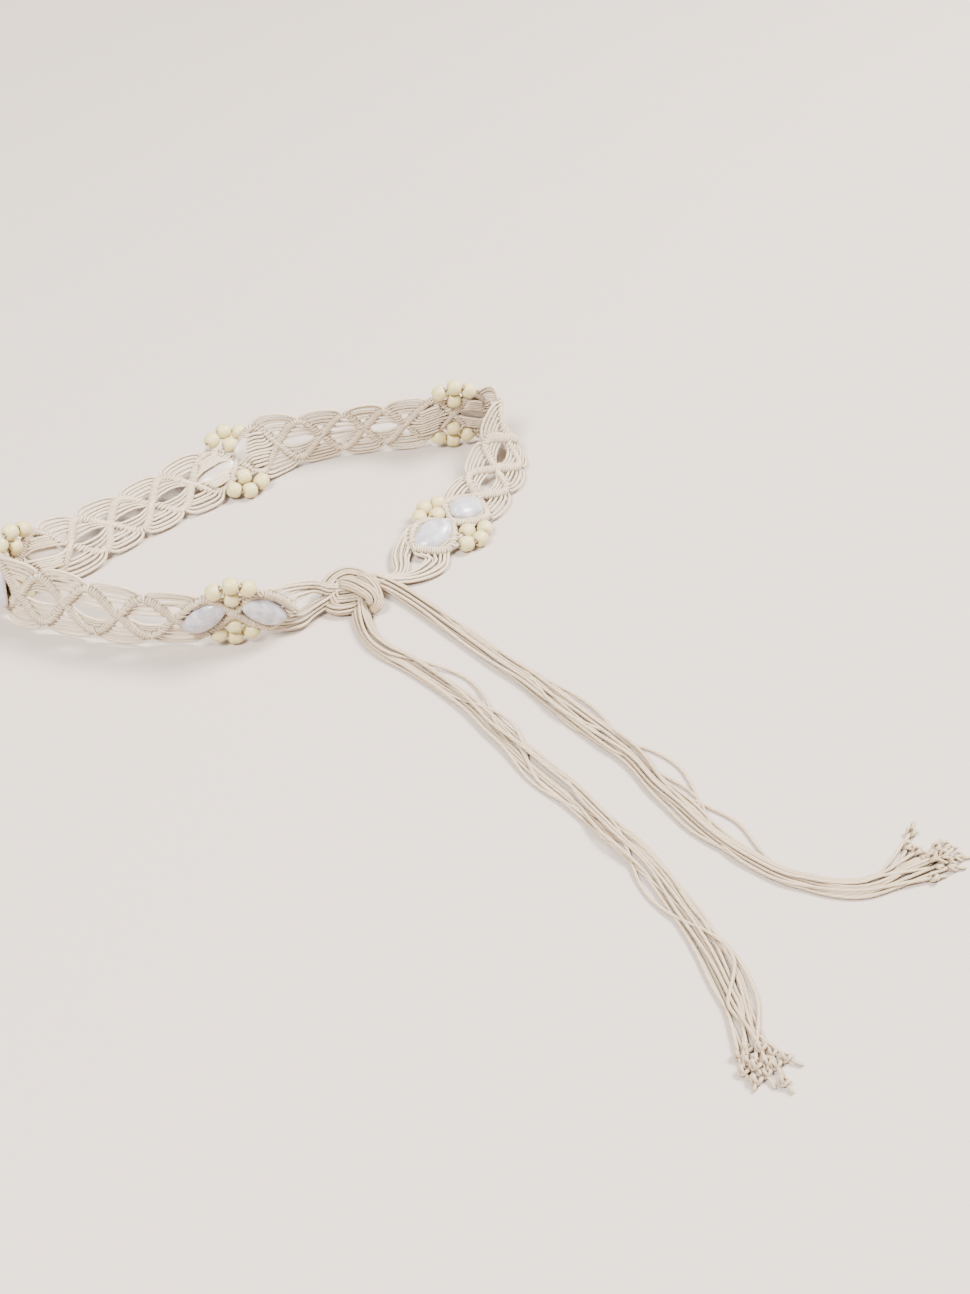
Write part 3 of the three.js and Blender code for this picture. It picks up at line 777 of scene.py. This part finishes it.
# The cords through them: first hitch, places side by side, distance out at the middle bead and how
# fast it falls to both sides, radius, and the points on the way
BEAD_STRINGS = [
    {
        "hitch": 0, "beside": (-0.24, 0.24), "reach": 12.4, "fall": 0.012, "radius": 0.95,
        "stops": (-6.5, -3, 0, 3, 6.5),
    },
    {
        "hitch": 2, "beside": (-0.405, 0, 0.405), "reach": BEAD_REACH, "fall": 0.040387,
        "radius": 0.9, "stops": (-13.2, -9.7, -5, 0, 5, 9.7, 13.2),
    },
]


def bead_spot(crossing, side, along_mm, across_mm):
    middle, along, across = crossing_frame(crossing)
    spread = float(station(crossing)[SPREAD_COLUMN])
    return middle + along * along_mm + across * side * across_mm * spread


def bead_strings(tubes, crossing, side):
    """The cords that leave the ribs, run through the beads and come back."""
    for row in BEAD_STRINGS:
        for j, beside in enumerate(row["beside"]):
            hitch = HITCH[row["hitch"] + j] + 0.02
            start = float(rib_line(hitch)) + RIB_OUTSIDE
            points = [place([[crossing - hitch, side * start, 0.4]])[0]]
            for stop in row["stops"]:
                out = row["reach"] - row["fall"] * stop**2 + beside
                points.append(bead_spot(crossing, side, stop, out))
            points.append(place([[crossing + hitch, side * start, 0.4]])[0])
            tubes.add(spline(points, step=1.6), row["radius"])


ribs_upper = Tubes("ribs_upper", 1)
ribs_lower = Tubes("ribs_lower", 2)
cords_upper = Tubes("band_cords_upper", 3)
cords_lower = Tubes("band_cords_lower", 4)
for cell in range(CELLS):
    rib_wraps(ribs_upper, cell, 1)
    rib_wraps(ribs_lower, cell, -1)
    for tubes, side in ((cords_upper, 1), (cords_lower, -1)):
        if has_stone(cell):
            backing(tubes, cell, side)
            setting(tubes, cell, side)
        else:
            comb(tubes, cell, side)
for crossing in range(CELLS + 1):
    for tubes, side in ((cords_upper, 1), (cords_lower, -1)):
        if has_beads(crossing):
            bead_strings(tubes, crossing, side)
        elif 0 < crossing < CELLS:
            scallop(tubes, crossing, side)
leader(cords_upper, 1)
leader(cords_lower, -1)

# The cords that gather into the knot

knot_at = np.array([KNOT_AT[0] * LOOP_LENGTH - ORIGIN[0], KNOT_AT[1] * LOOP_WIDTH - ORIGIN[1], 0])


def from_knot(rows):
    """Points from rows of (x, y) or (x, y, height), counted from the knot's middle."""
    points = [(x, y, height[0] if height else TAIL_HALF_HEIGHT) for x, y, *height in rows]
    return np.array(points) + knot_at


# Each bundle of a fan: the band's end and the way back into it, the side of the band, the middle
# line from the knot, how far apart the cords lie at each point and whether they stack upward
FANS = [
    {
        "end": 0, "inward": 1, "side": 1, "stacked": True, "outermost": 1,
        "points": [(-24, -14, 25.5), (-16, -5, 15.5), (-9, 1, 11), (0, 1, 8)],
        "apart": [1.35, 1.2, 1.0, 0.8],
    },
    {
        "end": 0, "inward": 1, "side": -1, "stacked": True, "outermost": -1,
        "points": [(-31, -24, 8.5), (-24, -15, 8), (-15.5, -6, 8.5), (-9, 0, 10), (0, 1, 7)],
        "apart": [2.0, 1.7, 1.35, 1.0, 0.8],
    },
    {
        "end": CELLS, "inward": -1, "side": 1, "stacked": False, "outermost": -1,
        "points": [
            (27.4, 50.5, 5), (26, 41, 4.6), (27, 31, 4.6), (25.5, 23.5, 4.6), (17, 17.5, 6), (6, 8, 8),
        ],
        "apart": [1.7, 1.6, 1.4, 1.1, 0.9, 0.8],
    },
    {
        "end": CELLS, "inward": -1, "side": -1, "stacked": False, "outermost": 1,
        "points": [(48.5, 37, 4), (42.5, 28.5, 4), (32.5, 21.5, 4.4), (18, 17, 6), (6, 8, 8)],
        "apart": [2.5, 1.9, 1.2, 0.9, 0.8],
    },
]
# Where a fan's cords leave the last rib, as shares of the cell, and how far they stack
FAN_STARTS = [0.5, 0.43, 0.36, 0.28, 0.2, 0.12, 0.04]
FAN_LAYER = 0.75


def fan(tubes, row):
    middle = from_knot(row["points"])
    way = np.gradient(middle, axis=0)
    way[:, 2] = 0
    way /= np.linalg.norm(way, axis=1, keepdims=True)
    for k, start in enumerate(FAN_STARTS):
        rank = (len(FAN_STARTS) - 1) / 2 - k
        rib = float(rib_line(start))
        side = row["side"]
        near = row["end"] + row["inward"] * start
        outward = row["end"] + row["inward"] * (start - 0.07)
        points = [
            place([[near, side * (rib + 0.4), 0.4]])[0],
            place([[outward, side * (rib + 2.6), 0.1 + jitter(0.3)]])[0],
        ]
        for m, apart in enumerate(row["apart"]):
            shift = row["outermost"] * rank * apart
            layer = FAN_LAYER * (1 if k % 2 else -1)
            if row["stacked"]:
                offset = np.array([way[m][1] * layer, -way[m][0] * layer, shift])
            else:
                offset = np.array([-way[m][1] * shift, way[m][0] * shift, layer])
            points.append(middle[m] + offset + np.array([jitter(0.3), jitter(0.3), jitter(0.2)]))
        path = spline(points, step=1.6)
        path[:, 2] = np.maximum(path[:, 2], LOWEST)
        tubes.add(path)


fans = Tubes("fan_cords", 5)
for row in FANS:
    fan(fans, row)

# The big knot: turns of the whole bundle, each shown as its own parallel cords

KNOT_LOOPS = [
    # round the neck of the left fan
    {
        "points": [(-9.5, 8, 10), (-12, 5, 13.5), (-13.2, 0, 13.5), (-12.2, -5, 10.5), (-9, -8.5, 6)],
        "wide": 3.4, "tall": 1.9, "twist": 0.1,
    },
    # the arc over the top
    {
        "points": [
            (-19, 2, 6), (-18, 6, 9), (-13.5, 10.5, 12), (-7, 14, 13), (0, 14, 12.5), (7, 13, 9),
            (15, 12, 6),
        ],
        "wide": 5, "tall": 4, "twist": 0.5,
    },
    # the broad turn across the middle
    {
        "points": [
            (-10, 4, 11), (-7, 4, 13.5), (-1, 1, 15), (5, -3, 15), (10.5, -6, 12.5), (13, -9, 8.5),
            (11, -11.5, 4),
        ],
        "wide": 5.2, "tall": 3.6, "twist": -0.4,
    },
    # the hook down the right side
    {
        "points": [
            (1, 12, 13), (6, 8.5, 14.5), (11, 3.5, 13.5), (14.5, -3, 10.5), (15, -8.5, 7),
            (12.5, -11.5, 3.5),
        ],
        "wide": 3, "tall": 3, "twist": 0.5,
    },
    # the arc below
    {
        "points": [(-19, -3, 6), (-16, -7, 5), (-10, -10, 4.5), (-3, -9.5, 5), (4, -6, 5)],
        "wide": 3.6, "tall": 3.6, "twist": 0.3,
    },
    # the full middle
    {
        "points": [(-17, 0, 5), (-8, -1, 5), (0, 0, 5), (8, 1, 5), (14, 0, 5)],
        "wide": 9.5, "tall": 6.2, "twist": 0.3,
    },
]
# Cords lie this share of their width apart round a bundle, which narrows to a share at its ends
BUNDLE_PITCH = 0.98
BUNDLE_END = 0.3
BUNDLE_NARROWING = 0.16


def bundle_of_cords(tubes, row):
    """One turn of the knot, as parallel cords round a middle line."""
    centre = spline(from_knot(row["points"]), step=1.4)
    way = np.gradient(centre, axis=0)
    way /= np.linalg.norm(way, axis=1, keepdims=True)
    side = np.cross(way, [0, 0, 1.0])
    side /= np.maximum(np.linalg.norm(side, axis=1, keepdims=True), 0.2)
    top = np.cross(side, way)
    wide = row["wide"] - CORD / 2
    tall = row["tall"] - CORD / 2
    around = 2 * math.pi * math.sqrt((wide**2 + tall**2) / 2)
    count = max(int(around / (CORD * BUNDLE_PITCH)), 5)
    share = np.linspace(0, 1, len(centre))
    from_end = np.clip(np.minimum(share, 1 - share) / BUNDLE_NARROWING, 0, 1)
    closing = BUNDLE_END + (1 - BUNDLE_END) * smooth(from_end)
    for j in range(count):
        angle = 2 * math.pi * j / count + row["twist"] * share + jitter(0.1)
        reach = 1 + jitter(0.05)
        a = np.cos(angle) * wide * closing * reach
        b = np.sin(angle) * tall * closing * reach
        path = centre + side * a[:, None] + top * b[:, None]
        path[:, 2] = np.maximum(path[:, 2], CORD / 2)
        tubes.add(path)


knot = Tubes("knot_cords", 6)
for row in KNOT_LOOPS:
    bundle_of_cords(knot, row)

for tubes in (ribs_upper, ribs_lower, cords_upper, cords_lower, fans):
    stand_for(tubes.build(COTTON), "woven_band")
stand_for(knot.build(SHADED_COTTON), "tie_knot")

# Beads

# Half of a bead's section, from the middle of its bore round the end to its widest line
BEAD_PROFILE = [
    (1.5, -2.0), (1.55, -3.9), (1.75, -4.35), (2.3, -4.5), (3.1, -4.35), (3.95, -3.75),
    (4.6, -2.7), (4.92, -1.4), (5.0, 0),
]
BEAD_STEPS = 28
BORE_RIM = 1.6


def bead(name, crossing, side, spot, node):
    _, along, across = crossing_frame(crossing)
    turn = math.radians(spot[2]) * -side
    axis = Vector(along * math.cos(turn) + across * math.sin(turn))
    middle = Vector(bead_spot(crossing, side, spot[0], spot[1]))
    tone = rng.random()
    shape = bmesh.new()
    hole_layer = shape.verts.layers.float.new("hole")
    tone_layer = shape.verts.layers.float.new("tone")
    section = BEAD_PROFILE + [(r, -z) for r, z in reversed(BEAD_PROFILE[:-1])]
    ring = [shape.verts.new((r, 0, z)) for r, z in section]
    edges = [shape.edges.new((ring[i - 1], ring[i])) for i in range(len(ring))]
    bmesh.ops.spin(
        shape,
        geom=ring + edges,
        cent=(0, 0, 0),
        axis=(0, 0, 1),
        angle=2 * math.pi,
        steps=BEAD_STEPS,
        use_merge=True,
    )
    for vert in shape.verts:
        vert[hole_layer] = float(math.hypot(vert.co.x, vert.co.y) < BORE_RIM)
        vert[tone_layer] = tone
    lay = axis.to_track_quat("Z", "Y").to_matrix().to_4x4()
    where = Matrix.Translation(middle * MM) @ lay @ Matrix.Scale(MM, 4)
    bmesh.ops.recalc_face_normals(shape, faces=shape.faces)
    bmesh.ops.transform(shape, matrix=where, verts=shape.verts)
    mesh = bpy.data.meshes.new(name)
    shape.to_mesh(mesh)
    shape.free()
    stand_for(add_object(name, mesh, WOOD), node)


for crossing in range(1, CELLS, REPEAT):
    for side, word in ((1, "upper"), (-1, "lower")):
        place_name = f"{crossing:02d}_{word}"
        bead(f"wood_inner_{place_name}", crossing, side, INNER_BEAD, f"bead_inner_{place_name}")
        for number, spot in enumerate(ARC_BEADS, 1):
            bead(f"wood_arc_{place_name}_{number}", crossing, side, spot, f"bead_arc_{place_name}")

# Stones: rings from the flat back over a rounded rim to the top of the dome

STONE_SIDES = 48
STONE_RINGS = 16
STONE_POINT = 1.28
RIM = 0.25
RIM_START = 0.9
# The back, coloured beige, takes in the first rings
STONE_BACK_RINGS = 3


def stone_ring(number):
    """The size of one ring and its height, as shares of the stone's outline and thickness."""
    share = number / STONE_RINGS
    if share < RIM:
        return RIM_START + (1 - RIM_START) * math.sin(share / RIM * math.pi / 2), share
    turn = (share - RIM) / (1 - RIM) * math.pi / 2
    return max(math.cos(turn), 0) ** 0.75, RIM + (1 - RIM) * math.sin(turn) ** 1.1


def stone(name, cell, node):
    middle_u = cell + 0.5
    low, high = place([[middle_u - 0.05, 0, 0], [middle_u + 0.05, 0, 0]])
    centre, up, outward = place([[middle_u, 0, 0], [middle_u, 1, 0], [middle_u, 0, 1]])
    along = (high - low) / np.linalg.norm(high - low)
    across = (up - centre) / np.linalg.norm(up - centre)
    out = np.cross(along, across)
    out /= np.linalg.norm(out)
    out *= math.copysign(1, out @ (outward - centre))
    shape = bmesh.new()
    back_layer = shape.verts.layers.float.new("back")
    ring = bmesh.ops.create_circle(shape, cap_ends=True, segments=STONE_SIDES, radius=1)["verts"]
    for vert in ring:
        vert.co.y = math.copysign(abs(vert.co.y) ** STONE_POINT, vert.co.y)
    edges = list(shape.edges)
    size, height = stone_ring(0)
    bmesh.ops.scale(shape, vec=(size, size, 1), verts=ring)
    for number in range(1, STONE_RINGS + 1):
        for vert in ring:
            vert[back_layer] = float(number <= STONE_BACK_RINGS)
        fresh = bmesh.ops.extrude_edge_only(shape, edges=edges)["geom"]
        ring = [part for part in fresh if isinstance(part, bmesh.types.BMVert)]
        edges = [part for part in fresh if isinstance(part, bmesh.types.BMEdge)]
        next_size, next_height = stone_ring(number)
        bmesh.ops.scale(shape, vec=(next_size / size, next_size / size, 1), verts=ring)
        bmesh.ops.translate(shape, vec=(0, 0, next_height - height), verts=ring)
        size, height = next_size, next_height
    for vert in ring:
        vert[back_layer] = 0
    bmesh.ops.pointmerge(shape, verts=ring, merge_co=(0, 0, height))
    axes = (along * STONE_LENGTH / 2, across * STONE_WIDTH / 2, out * STONE_THICK)
    lay = Matrix([Vector(axis) * MM for axis in axes]).transposed().to_4x4()
    lay.translation = Vector(centre + out * STONE_BACK) * MM
    bmesh.ops.transform(shape, matrix=lay, verts=shape.verts)
    bmesh.ops.recalc_face_normals(shape, faces=shape.faces)
    mesh = bpy.data.meshes.new(name)
    shape.to_mesh(mesh)
    shape.free()
    stand_for(add_object(name, mesh, MILKY_STONE), node)


stone_cells = [cell for cell in range(CELLS) if has_stone(cell)]
for number, cell in enumerate(stone_cells, 1):
    stone(f"dome_{number:02d}", cell, f"stone_{number:02d}")

# The loose tails: each strand is its own cord, ending in its own small knot

STRANDS = 14
# Strands change places this often on their way, each time by up to this many places
LANE_NODES = 10
LANE_SWAP = 4.5

# How far a bundle spreads to each side, as (share of its length, mm)
SPREAD_NEAR = [
    (0, 4.5), (0.08, 5), (0.16, 5.6), (0.23, 4.8), (0.33, 6.3), (0.43, 6.8), (0.5, 7.8),
    (0.57, 6.2), (0.63, 7.4), (0.7, 6.4), (0.8, 6.8), (0.88, 8.2), (0.95, 6), (1, 5),
]
SPREAD_FAR = [
    (0, 4.5), (0.1, 5), (0.22, 5.5), (0.3, 6), (0.39, 7.6), (0.47, 7.6), (0.56, 6), (0.65, 7.4),
    (0.73, 5), (0.8, 4.8), (0.86, 5.4), (0.95, 7), (1, 8),
]
# Strands that leave their bundle: strand, middle and half length of the bow as shares, mm to the
# left of the way, and height there
BOWS_NEAR = [
    (3, 0.25, 0.13, 14.6, 1.05), (5, 0.47, 0.1, -9.8, 1.05), (9, 0.5, 0.11, -8, 1.1),
    (8, 0.9, 0.14, 11.4, 2), (11, 0.72, 0.13, -11.4, 1.05), (11, 0.86, 0.08, 7, 6.6),
    (1, 0.36, 0.12, 8.5, 5.2), (12, 0.62, 0.13, -7, 5.4),
]
BOWS_FAR = [
    (2, 0.58, 0.15, 20, 1.05), (6, 0.7, 0.1, 17, 1.05), (10, 0.62, 0.13, 12.4, 1.05),
    (4, 0.42, 0.15, 12.2, 1.6), (12, 0.4, 0.13, -6, 5.4), (8, 0.52, 0.11, 5.5, 6),
]
# Where each strand's small knot lies past the end of the bundle: ahead, to the left, and height
KNOTS_NEAR = [
    (-4, -3, 2.6), (-1, -8, 2.6), (-1, 2, 6.8), (3, -4.5, 3), (2, 0, 2.6), (5, 4, 2.8),
    (0, 7, 2.6), (8, -8, 2.6), (8, -2.5, 5.6), (11, 1.5, 2.6), (7, 7, 2.6), (4, 12.5, 2.6),
    (14, -4, 2.6), (17, 8.5, 2.6),
]
KNOTS_FAR = [
    (-5, 14, 2.6), (-2, 5, 2.6), (-1, 0, 6.2), (3, 3.5, 2.6), (8, 7, 2.6), (1, -4, 2.6),
    (6, -1, 5.6), (9, 1.5, 2.6), (13, 5.5, 2.6), (14, -3, 2.6), (-6, -9, 2.6), (-3, 9.5, 2.6),
    (3, 22, 2.6), (7, -7, 2.6),
]
TAILS = [
    {
        "label": "near", "line": TAIL_NEAR, "spread": SPREAD_NEAR, "bows": BOWS_NEAR,
        "knots": KNOTS_NEAR, "seed": 21,
    },
    {
        "label": "far", "line": TAIL_FAR, "spread": SPREAD_FAR, "bows": BOWS_FAR,
        "knots": KNOTS_FAR, "seed": 22,
    },
]
# A bundle flattens by this share towards its end, and its strands part there to their knots
FLATTENING = 0.35
PARTING = 0.94
# The small knots' sizes, how much they and their stubs turn aside, and how far the stubs reach
KNOT_SIZES = (4.1, 4.9)
KNOT_TURN = 0.7
STUB_BEND = 3.5
STUB_REACH = (5, 8.5)
STUB_RADIUS = 0.95


def lanes(pick, share):
    """Each strand's place across its bundle, from -1 to 1, as the strands slowly change sides."""
    ranks = [pick.sample(range(STRANDS), STRANDS)]
    for _ in range(LANE_NODES - 1):
        wish = [rank + pick.uniform(-LANE_SWAP, LANE_SWAP) for rank in ranks[-1]]
        moved = sorted(range(STRANDS), key=lambda j: wish[j])
        ranks.append([moved.index(j) for j in range(STRANDS)])
    ranks = np.array(ranks, float) / (STRANDS - 1) * 2 - 1
    at = share * (LANE_NODES - 1)
    low = np.minimum(at.astype(int), LANE_NODES - 2)
    blend = smooth(at - low)
    return [ranks[low, j] * (1 - blend) + ranks[low + 1, j] * blend for j in range(STRANDS)]


def overhand(tubes, at, ahead, size):
    """A small overhand knot: two turns of the cord pulled into each other."""
    side = np.array([-ahead[1], ahead[0], 0.0])
    up = np.array([0, 0, 1.0])
    turn = np.arange(18) / 18 * 2 * math.pi
    turns = (
        (0.42 * np.sin(turn), 0.5 * np.cos(turn), 0.32 * np.sin(2 * turn + 0.6)),
        (0.34 * np.sin(turn + 0.9), 0.3 * np.sin(turn - 0.5), 0.42 * np.cos(turn + 0.9)),
    )
    for x, y, z in turns:
        ring = at + size * (ahead * x[:, None] + side * y[:, None] + up * z[:, None])
        tubes.add(ring, closed=True)


def end_knot(name, seed, path, left, pick):
    """The small knot at a strand's end and the stub of cord beyond it."""
    tubes = Tubes(name, seed)
    way = path[-1] - path[-3]
    way[2] = 0
    way /= np.linalg.norm(way)
    spot = path[-1] + way * 1.2
    turned = way + left * pick.uniform(-KNOT_TURN, KNOT_TURN)
    overhand(tubes, spot, turned / np.linalg.norm(turned), pick.uniform(*KNOT_SIZES))
    stub_way = way + left * pick.uniform(-KNOT_TURN, KNOT_TURN)
    stub = [spot, spot + stub_way * STUB_BEND, spot + stub_way * pick.uniform(*STUB_REACH)]
    stub[1][2] -= 0.8
    stub[2][2] = max(spot[2] - 2, 1.05)
    tubes.add(spline(stub, step=1.5), STUB_RADIUS)
    return tubes.build(SHADED_COTTON)


def tail(label, line, spread, bows, knots, seed):
    """One loose bundle: each strand follows its lane, its bows and the way to its own knot."""
    pick = random.Random(seed)
    centre = spline(from_knot(line), step=4)
    length = length_at(centre)
    share = length / length[-1]
    way = np.gradient(centre, axis=0)
    way[:, 2] = 0
    way /= np.linalg.norm(way, axis=1, keepdims=True)
    left = np.stack([-way[:, 1], way[:, 0], np.zeros(len(centre))], 1)
    half = np.interp(share, *np.array(spread).T)
    floor_under = np.maximum(centre[:, 2] - TAIL_HALF_HEIGHT, 0)
    pile = (2 * TAIL_HALF_HEIGHT - CORD) * (1 - FLATTENING * smooth(share))
    levels = pick.sample(range(STRANDS), STRANDS)
    for j, lane in enumerate(lanes(pick, share)):
        across = lane * half
        dome = np.sqrt(np.maximum(1 - 0.9 * lane**2, 0))
        height = floor_under + CORD / 2 + levels[j] / (STRANDS - 1) * pile * dome
        for bowed, at, reach, bow, lift in bows:
            if bowed == j:
                pull = np.cos(np.clip((share - at) / reach, -1, 1) * math.pi / 2) ** 2
                across = across * (1 - pull) + bow * pull
                height = height * (1 - pull) + lift * pull
        path = centre + left * across[:, None]
        path[:, 2] = np.maximum(height, LOWEST)
        knot_ahead, knot_left, knot_up = knots[j]
        tip = centre[-1] + way[-1] * knot_ahead + left[-1] * knot_left
        tip[2] = knot_up
        path = spline(np.vstack([path[share < PARTING][::2], tip]), step=3.2)
        strand = Tubes(f"strand_{label}_{j + 1:02d}", seed * 50 + j)
        strand.add(path)
        piece = strand.build(SHADED_COTTON)
        stand_for(piece, f"tie_tail_{label}")
        name = f"end_knot_{label}_{j + 1:02d}"
        knot_piece = end_knot(name, seed * 90 + j, path, left[-1], pick)
        stand_for(knot_piece, f"end_knots_{label}")


for row in TAILS:
    tail(**row)

# Floor, light and background

FLOOR_HALF = 6.0
floor_look, _, _ = new_material(
    "pale_floor",
    {"Base Color": (0.515, 0.443, 0.39, 1), "Roughness": 0.75, "Specular IOR Level": 0.2},
)
floor_shape = bmesh.new()
bmesh.ops.create_grid(floor_shape, x_segments=1, y_segments=1, size=FLOOR_HALF)
floor_mesh = bpy.data.meshes.new("floor")
floor_shape.to_mesh(floor_mesh)
floor_shape.free()
add_object("floor", floor_mesh, floor_look)

world = bpy.data.worlds.new("studio")
world.use_nodes = True
sky = world.node_tree.nodes["Background"]
sky.inputs["Color"].default_value = (1.0, 0.985, 0.97, 1)
sky.inputs["Strength"].default_value = 0.6
bpy.context.scene.world = world

LIT_SPOT = (0.05, 0, 0)


def area_light(name, at, size, power, colour):
    data = bpy.data.lights.new(name, "AREA")
    data.size = size
    data.energy = power
    data.color = colour
    light = bpy.data.objects.new(name, data)
    light.location = at
    light.rotation_euler = (Vector(LIT_SPOT) - Vector(at)).to_track_quat("-Z", "Y").to_euler()
    bpy.context.scene.collection.objects.link(light)


area_light("window", at=(1.7, 0.7, 2.3), size=1.0, power=300, colour=(1.0, 0.97, 0.93))
area_light("fill", at=(-0.8, -1.5, 2.4), size=0.8, power=225, colour=(1.0, 0.98, 0.96))

bpy.context.view_layer.update()
